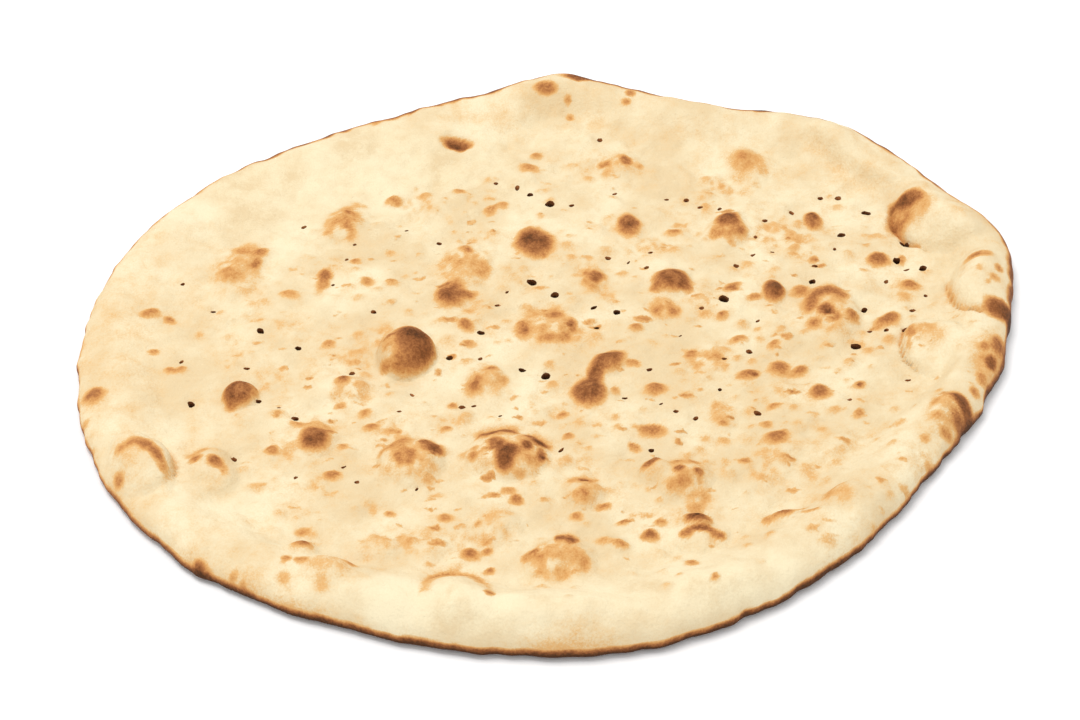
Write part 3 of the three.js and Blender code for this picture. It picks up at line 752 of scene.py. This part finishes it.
# The walls of a hole are darkened with painted shade, brown from their mouth down and near black at the
# bottom.
HOLE_WALL_SHADE = (0.5, 0.7)  # at the mouth of a closed hole and of an open one
HOLE_BOTTOM_SHADE = (0.95, 1.25)  # the same for their bottoms
HOLE_LIP = 0.6  # below the mouth, where the bottom begins
painted_hole_shade = np.zeros(count)
for (at_x, at_y, across, other, _, depth), mouth in zip(holes, mouths):
    inside = np.hypot(place[:, 0] - at_x, place[:, 1] - at_y) < max(across, other)
    low = inside & (place[:, 2] < mouth - HOLE_LIP)
    painted_hole_shade[inside] = HOLE_WALL_SHADE[depth is None]
    painted_hole_shade[low] = HOLE_BOTTOM_SHADE[depth is None]

# The lower edge is browned all round, most of all where it lay nearest the fire.
WALL_BROWN_FROM = 0.42  # how dark everywhere
WALL_BROWN = [(275, 62, 1.0), (345, 18, 0.8), (20, 20, 0.3)]  # where darker, degrees wide, by how much
WALL_BROWN_LEVELS = (2.2, 7.2)  # where it is full and where it ends
WALL_BROWN_POWER = 0.75  # below 1 it is brown soon and black late
WALL_SHADE = [(262, 70, 0.08)]  # where the side above it is darkened with painted shade, width, how dark
WALL_SHADE_LEVELS = (5, 14)  # where the painted shade is full and where it ends
WALL_HIGHER = [(303, 9, 1)]  # where the browning reaches higher, width, by how much
WALL_BLOTCHES = [(32, 0.4, 41), (7, 0.2, 42)]  # length, height, random seed
EDGE_LINE = 0.72  # how dark the shoulder of the outer face is, where it turns down
EDGE_TURN = 0.869  # how steeply it falls there at the very back; it is steeper towards the sides
EDGE_FADE = (-42, -16)  # degrees before that, where it begins and where it is full
EDGE_BROAD = (5, 8)  # how far in from the edge it begins to fade and where it ends
EDGE_WANDER = [(26, 5, 43), (8, 3, 44)]  # length, degrees, random seed
SIDE_FROM = (0, 36)  # degrees after that, where the side below it grows paler
SIDE_PALER = 0.6
SIDE_LIMITS = (0.3, 1.4)  # how unevenly
way = np.arctan2(place[:, 1], place[:, 0])
out_to_edge = edge_radius(way) - np.hypot(place[:, 0], place[:, 1])
browned = WALL_BROWN_FROM + bumps_at(WALL_BROWN, np.degrees(way))
blotch = lumps(WALL_BLOTCHES, place[:, 0], place[:, 1])
height = place[:, 2] + blotch - bumps_at(WALL_HIGHER, np.degrees(way))
wall = (1 - smoothstep(height, *WALL_BROWN_LEVELS)) * (out_to_edge < CREST_IN)
wall = np.clip(wall ** WALL_BROWN_POWER * browned, 0, 1)
# Above the brown, the lower front of the rim is darkened: painted shade.
painted_wall_shade = bumps_at(WALL_SHADE, np.degrees(way)) * (1 - smoothstep(height, *WALL_SHADE_LEVELS))
painted_wall_shade = painted_wall_shade * (1 - smoothstep(out_to_edge, CREST_IN / 2, CREST_IN))
normal = np.empty(count * 3)
pricked.vertices.foreach_get("normal", normal)
tilt = np.degrees(np.arccos(np.clip(normal.reshape(-1, 3)[:, 2], -1, 1)))
turned = tilt - np.degrees(np.arctan2(EDGE_TURN, np.sin(way)))
turned = turned + lumps(EDGE_WANDER, place[:, 0], place[:, 1])
paler = SIDE_PALER * smoothstep(turned, *SIDE_FROM) * np.clip(1 + blotch, *SIDE_LIMITS)
edge_line = EDGE_LINE * smoothstep(turned, *EDGE_FADE) * (1 - smoothstep(out_to_edge, *EDGE_BROAD))
edge_line = edge_line * (1 - paler)
skin_toast_and_shade = 1 - (1 - skin_toast_and_shade) * (1 - np.maximum.reduce([wall, painted_wall_shade, edge_line]))

# The toasting and painted shade are kept corner by corner, so that the painted shade of a hole ends sharply
# at its mouth.
corner_count = len(pricked.loops)
corner_point = np.empty(corner_count, dtype=np.int32)
pricked.loops.foreach_get("vertex_index", corner_point)
corners_of_face = np.empty(len(pricked.polygons), dtype=np.int32)
pricked.polygons.foreach_get("loop_total", corners_of_face)
is_wall = np.empty(len(pricked.polygons))
pricked.attributes["hole_wall"].data.foreach_get("value", is_wall)
corner_on_wall = np.repeat(is_wall > 0.5, corners_of_face)
corner_toast_and_shade = np.where(corner_on_wall, painted_hole_shade[corner_point], skin_toast_and_shade[corner_point])
pricked.attributes.remove(pricked.attributes["hole_wall"])
layer = pricked.attributes.new("toast_and_shade", "FLOAT", "CORNER")
layer.data.foreach_set("value", corner_toast_and_shade)

SHARP_FROM = 60  # degrees; the mouth of a hole is sharp, the crust is smooth
place[:, :2] += DOUGH_MIDDLE
pricked.vertices.foreach_set("co", (place * MM).reshape(-1))
pricked.update()
pricked.shade_smooth()
pricked.set_sharp_from_angle(angle=math.radians(SHARP_FROM))


# Crust material
# Pale wheat crust with a dry floury skin, browned where it stood nearest the fire.
# The toasting of each place, with its painted shade and painted light, is kept with the mesh; flecks, fine
# mottling and grain are added here.

# The palest colour is that of flour; the paler places of the rim use it as painted light.
FLOUR_AND_LIGHT_CREAM = (0.842, 0.736, 0.5)
PALE_CREAM = (0.822, 0.712, 0.485)
CREAM = (0.718, 0.562, 0.338)
# Toasting from none to the darkest: how far it has gone, and its colour.
TOAST_COLOURS = [
    (0.0, (0.745, 0.577, 0.345)),
    (0.11, (0.725, 0.492, 0.24)),
    (0.2, (0.705, 0.41, 0.162)),
    (0.29, (0.64, 0.33, 0.112)),
    (0.4, (0.54, 0.24, 0.077)),
    (0.545, (0.39, 0.155, 0.051)),
    (0.71, (0.25, 0.088, 0.028)),
    (0.85, (0.15, 0.054, 0.018)),
    (0.96, (0.075, 0.029, 0.011)),
]
PALEST_TO_CRUST = (-0.14, 0)  # the toasting where the palest colour, of flour and of painted light, covers all, and where none is left
CREAM_TO_TOAST = (0, 0.16)  # the toasting where cream begins to turn, and where none is left
CRUST_ROUGHNESS = (0.8, 0.6)  # of untoasted crust and of the darkest
# Uneven patterns: how many patches in a metre, how detailed, how rough.
CREAM_PATCHES = (30, 5, 0.55)
CLOUDS = (95, 5, 0.65)
DENTS = (170, 3, 0.55)
PORES = (620, 4, 0.6)
MOTTLE = (650, 5, 0.65)
FINE_GRAIN = (1300, 2, 0.55)
# The part of each pattern that is used, and how much it adds to the toasting.
CREAM_RANGE = (0.38, 0.62)
CLOUD_RANGE = (0.42, 0.72)
CLOUD_TOAST = 0.11
MOTTLE_RANGE = (0.25, 0.75)
MOTTLE_TOAST = 0.45
MOTTLE_ON_BLACK = 0.25  # of that, the share left on the darkest crust
MOTTLE_ON_PALE = 0.3  # and the share on pale crust
PALE_TO = 0.3  # the toasting up to which crust is pale
FINE_RANGE = (0.3, 0.7)
FINE_TOAST = 0.03
# How much each adds to the relief of the skin, next to the pores.
FINE_RELIEF = 0.3
DENT_RELIEF = 1.6
FLECK_RELIEF = 3


def colour(rgb):
    """The same colour with full cover."""
    return (*rgb, 1)


# The group turns toasting into colour; the same value also carries painted shade and painted light.
toasting = bpy.data.node_groups.new("toasting_and_painted_shade", "ShaderNodeTree")
toasting.interface.new_socket("Toast and shade", in_out="INPUT", socket_type="NodeSocketFloat")
toasting.interface.new_socket("Colour", in_out="OUTPUT", socket_type="NodeSocketColor")
toasting.interface.new_socket("Roughness", in_out="OUTPUT", socket_type="NodeSocketFloat")
toasting.interface.new_socket("Height", in_out="OUTPUT", socket_type="NodeSocketFloat")
nodes = toasting.nodes
links = toasting.links
given = nodes.new("NodeGroupInput")
result = nodes.new("NodeGroupOutput")
where = nodes.new("ShaderNodeTexCoord")


def noise(patches, detail, roughness):
    """Uneven patches: how many in a metre, how detailed, how rough."""
    texture = nodes.new("ShaderNodeTexNoise")
    texture.inputs["Scale"].default_value = patches
    texture.inputs["Detail"].default_value = detail
    texture.inputs["Roughness"].default_value = roughness
    links.new(where.outputs["Object"], texture.inputs["Vector"])
    return texture.outputs


def feed(sockets, *values):
    """Gives sockets their values in order; each is a plain value or comes from another node."""
    for socket, value in zip(sockets, values):
        if isinstance(value, bpy.types.NodeSocket):
            socket.id_data.links.new(value, socket)
        else:
            socket.default_value = value


def worked_out(kind, operation, *values):
    """One step of arithmetic on numbers or vectors."""
    node = nodes.new(kind)
    node.operation = operation
    feed(node.inputs, *values)
    return node.outputs


def sum_of(first, second, times):
    """first + second * times."""
    return worked_out("ShaderNodeMath", "MULTIPLY_ADD", second, times, first)["Value"]


def product(first, second):
    """first * second."""
    return worked_out("ShaderNodeMath", "MULTIPLY", first, second)["Value"]


def spread(value, old_range, new_range, tree=toasting):
    """value taken from one range to another, and held within it."""
    node = tree.nodes.new("ShaderNodeMapRange")
    feed(node.inputs, value, *old_range, *new_range)
    return node.outputs["Result"]


def mixed(share, first, second):
    """The colour first where share is 0, and second where it is 1."""
    node = nodes.new("ShaderNodeMix")
    node.data_type = "RGBA"
    feed([node.inputs[name] for name in ("Factor", "A", "B")], share, first, second)
    return node.outputs["Result"]


# Flecks finer than the mesh: toasted spots of the middle, wider than deep and darkest at the back.
FLECK_SQUEEZE = (0.6, 1, 1)  # below 1 draws them out that way
FLECK_WOBBLE = (0.005, 0.005, 0)  # how far their outlines wander, in metres
FLECK_WOBBLES = (240, 3, 0.5)  # in a metre, how detailed, how rough
FLECK_NONE = 0.5  # of the cells, those without a fleck
FLECK_FADE = 0.6  # of its width, over which it fades
FLECK_ENDS = (0.5, 1.3)  # how dark its front and its back are
FLECK_PALEST = 0.35  # of the darkest
LARGE_FLECKS = (80, 0.24, 0.42)  # cells in a metre, the widest in cells, how dark
SMALL_FLECKS = (150, 0.26, 0.3)
FLECKED = (0.8, 1.08)  # of the reach of the faint bubbles, where flecks thin out and where they end
stretched = nodes.new("ShaderNodeMapping")
stretched.inputs["Scale"].default_value = FLECK_SQUEEZE
links.new(where.outputs["Object"], stretched.inputs["Vector"])
wobble = noise(*FLECK_WOBBLES)["Color"]
fleck_place = worked_out(
    "ShaderNodeVectorMath", "MULTIPLY_ADD", wobble, FLECK_WOBBLE, stretched.outputs["Vector"])["Vector"]


def flecks(cells_in_metre, widest, darkest):
    """Toasted flecks, each of its own size and darkness."""
    cells = nodes.new("ShaderNodeTexVoronoi")
    cells.voronoi_dimensions = "2D"
    cells.inputs["Scale"].default_value = cells_in_metre
    links.new(fleck_place, cells.inputs["Vector"])
    drawn = nodes.new("ShaderNodeSeparateColor")
    links.new(cells.outputs["Color"], drawn.inputs["Color"])
    reach = spread(drawn.outputs["Red"], (FLECK_NONE, 1), (0, widest))
    mask = spread(sum_of(reach, cells.outputs["Distance"], -1), (0, widest * FLECK_FADE), (0, 1))
    from_heart = worked_out("ShaderNodeVectorMath", "SUBTRACT", fleck_place, cells.outputs["Position"])
    apart = nodes.new("ShaderNodeSeparateXYZ")
    links.new(from_heart["Vector"], apart.inputs["Vector"])
    reach_back = widest / cells_in_metre
    darker_back = spread(apart.outputs["Y"], (-reach_back, reach_back), FLECK_ENDS)
    dark = spread(drawn.outputs["Green"], (0, 1), (darkest * FLECK_PALEST, darkest))
    return product(product(mask, darker_back), dark)


flecked = nodes.new("ShaderNodeMapping")
flecked.vector_type = "TEXTURE"
flecked.inputs["Location"].default_value = (FAINT_MIDDLE[0] * MM, FAINT_MIDDLE[1] * MM, 0)
flecked.inputs["Scale"].default_value = (FAINT_REACH[0] * MM, FAINT_REACH[1] * MM, 1)
links.new(where.outputs["Object"], flecked.inputs["Vector"])
off_middle = worked_out("ShaderNodeVectorMath", "LENGTH", flecked.outputs["Vector"])
all_flecks = sum_of(flecks(*LARGE_FLECKS), flecks(*SMALL_FLECKS), 1)
all_flecks = product(all_flecks, spread(off_middle["Value"], FLECKED, (1, 0)))

# Half-toasted crust is the most mottled; clouds and fine grain lie over everything.
# The toasting given also carries the painted shade and painted light kept with the mesh.
toast_and_shade_given = sum_of(given.outputs["Toast and shade"], all_flecks, 1)
half_done = product(toast_and_shade_given, spread(toast_and_shade_given, (0, 1), (1, MOTTLE_ON_BLACK)))
half_done = product(half_done, spread(toast_and_shade_given, (0, PALE_TO), (MOTTLE_ON_PALE, 1)))
mottle = product(half_done, spread(noise(*MOTTLE)["Fac"], MOTTLE_RANGE, (-1, 1)))
clouds = spread(noise(*CLOUDS)["Fac"], CLOUD_RANGE, (0, 1))
fine = noise(*FINE_GRAIN)["Fac"]
toasted = sum_of(toast_and_shade_given, mottle, MOTTLE_TOAST)
toasted = sum_of(toasted, clouds, CLOUD_TOAST)
toasted = sum_of(toasted, spread(fine, FINE_RANGE, (-1, 1)), FINE_TOAST)

ramp = nodes.new("ShaderNodeValToRGB")
stops = ramp.color_ramp.elements
while len(stops) < len(TOAST_COLOURS):
    stops.new(0.5)
for stop, (position, rgb) in zip(stops, TOAST_COLOURS):
    stop.position = position
    stop.color = colour(rgb)
links.new(toasted, ramp.inputs["Fac"])

creamy = mixed(spread(noise(*CREAM_PATCHES)["Fac"], CREAM_RANGE, (0, 1)), colour(PALE_CREAM), colour(CREAM))
crust_colour = mixed(spread(toasted, CREAM_TO_TOAST, (0, 1)), creamy, ramp.outputs["Color"])
floury_and_lit = mixed(spread(toasted, PALEST_TO_CRUST, (0, 1)), colour(FLOUR_AND_LIGHT_CREAM), crust_colour)
links.new(floury_and_lit, result.inputs["Colour"])
links.new(spread(toasted, (0, 1), CRUST_ROUGHNESS), result.inputs["Roughness"])
grain = sum_of(noise(*PORES)["Fac"], fine, FINE_RELIEF)
grain = sum_of(grain, noise(*DENTS)["Fac"], DENT_RELIEF)
links.new(sum_of(grain, all_flecks, FLECK_RELIEF), result.inputs["Height"])

CRUST_SHINE = 0.06
GRAIN_HEIGHT = 0.0005
GRAIN_STRENGTH = 0.9


def bread_material(name, toast_from):
    """A crust material whose toasting, with any painted shade and light, comes from a mesh attribute or from
    uneven patches.
    """
    material = bpy.data.materials.new(name)
    material.use_nodes = True
    tree = material.node_tree
    shader = tree.nodes["Principled BSDF"]
    shader.inputs["Specular IOR Level"].default_value = CRUST_SHINE
    toasted_crust = tree.nodes.new("ShaderNodeGroup")
    toasted_crust.node_tree = toasting
    tree.links.new(toast_from(tree), toasted_crust.inputs["Toast and shade"])
    bump = tree.nodes.new("ShaderNodeBump")
    bump.inputs["Strength"].default_value = GRAIN_STRENGTH
    bump.inputs["Distance"].default_value = GRAIN_HEIGHT
    tree.links.new(toasted_crust.outputs["Height"], bump.inputs["Height"])
    tree.links.new(toasted_crust.outputs["Colour"], shader.inputs["Base Color"])
    tree.links.new(toasted_crust.outputs["Roughness"], shader.inputs["Roughness"])
    tree.links.new(bump.outputs["Normal"], shader.inputs["Normal"])
    return material


def toast_and_shade_of_mesh(tree):
    """The toasting and painted shade that are kept with the mesh, corner by corner."""
    node = tree.nodes.new("ShaderNodeAttribute")
    node.attribute_name = "toast_and_shade"
    return node.outputs["Fac"]


UNDERSIDE_PATCHES = 45  # in a metre
UNDERSIDE_DETAIL = 5
UNDERSIDE_RANGE = (0.42, 0.75)  # the part of the pattern that is used
UNDERSIDE_TOAST = (0.12, 0.95)  # the palest and the darkest
UNDERSIDE_FACING = -0.95  # how squarely a face looks down


def toast_of_underside(tree):
    """Where the bread lay on the oven wall: pale with wide brown patches."""
    place = tree.nodes.new("ShaderNodeTexCoord")
    texture = tree.nodes.new("ShaderNodeTexNoise")
    texture.inputs["Scale"].default_value = UNDERSIDE_PATCHES
    texture.inputs["Detail"].default_value = UNDERSIDE_DETAIL
    tree.links.new(place.outputs["Object"], texture.inputs["Vector"])
    return spread(texture.outputs["Fac"], UNDERSIDE_RANGE, UNDERSIDE_TOAST, tree)


pricked.materials.clear()
pricked.materials.append(bread_material("crust", toast_and_shade_of_mesh))
pricked.materials.append(bread_material("underside_crust", toast_of_underside))

facing = np.empty(len(pricked.polygons) * 3)
pricked.polygons.foreach_get("normal", facing)
is_underside = facing.reshape(-1, 3)[:, 2] < UNDERSIDE_FACING
pricked.polygons.foreach_set("material_index", is_underside.astype(np.int32))
pricked.update()

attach(bread, "root")
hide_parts("taftoon")


# Floor, light and camera
# A plain near-white floor, one soft square light from above, a little to the left, and an even pale surround.
# The camera looks down on the bread from the front.

FLOOR_WIDTH = 8
FLOOR_WHITE = (0.97, 0.97, 0.97)
bpy.ops.mesh.primitive_plane_add(size=FLOOR_WIDTH, location=(0, 0, 0))
floor = bpy.context.object
floor.name = "floor"
floor_paint = bpy.data.materials.new("floor_paint")
floor_paint.use_nodes = True
floor_shader = floor_paint.node_tree.nodes["Principled BSDF"]
floor_shader.inputs["Base Color"].default_value = colour(FLOOR_WHITE)
floor_shader.inputs["Roughness"].default_value = 1
floor_shader.inputs["Specular IOR Level"].default_value = 0
floor.data.materials.append(floor_paint)

SURROUND_WHITE = (1, 1, 1)
SURROUND_STRENGTH = 0.9
surround = bpy.data.worlds.new("surround")
bpy.context.scene.world = surround
surround.use_nodes = True
background = surround.node_tree.nodes["Background"]
background.inputs["Color"].default_value = colour(SURROUND_WHITE)
background.inputs["Strength"].default_value = SURROUND_STRENGTH

LIGHT_PLACE = Vector((-0.5, 0.1, 2.1))
LIGHT_POWER = 21
LIGHT_WIDTH = 0.9
lamp = bpy.data.lights.new("soft_light", "AREA")
lamp.energy = LIGHT_POWER
lamp.size = LIGHT_WIDTH
soft_light = bpy.data.objects.new("soft_light", lamp)
soft_light.location = LIGHT_PLACE
soft_light.rotation_euler = (-LIGHT_PLACE).to_track_quat("-Z", "Y").to_euler()
bpy.context.collection.objects.link(soft_light)

AIM = Vector((-6.8, -13.35, 0)) * MM
CAMERA_DISTANCE = 1.03
CAMERA_TILT = math.radians(41)
SENSOR_WIDTH = 36
LENS = 80
lens = bpy.data.cameras.new("camera")
lens.sensor_width = SENSOR_WIDTH
lens.lens = LENS
camera = bpy.data.objects.new("camera", lens)
away = Vector((0, -math.cos(CAMERA_TILT), math.sin(CAMERA_TILT)))
camera.location = AIM + CAMERA_DISTANCE * away
camera.rotation_euler = (math.pi / 2 - CAMERA_TILT, 0, 0)
bpy.context.collection.objects.link(camera)
bpy.context.scene.camera = camera
bpy.context.scene.view_settings.view_transform = "Standard"
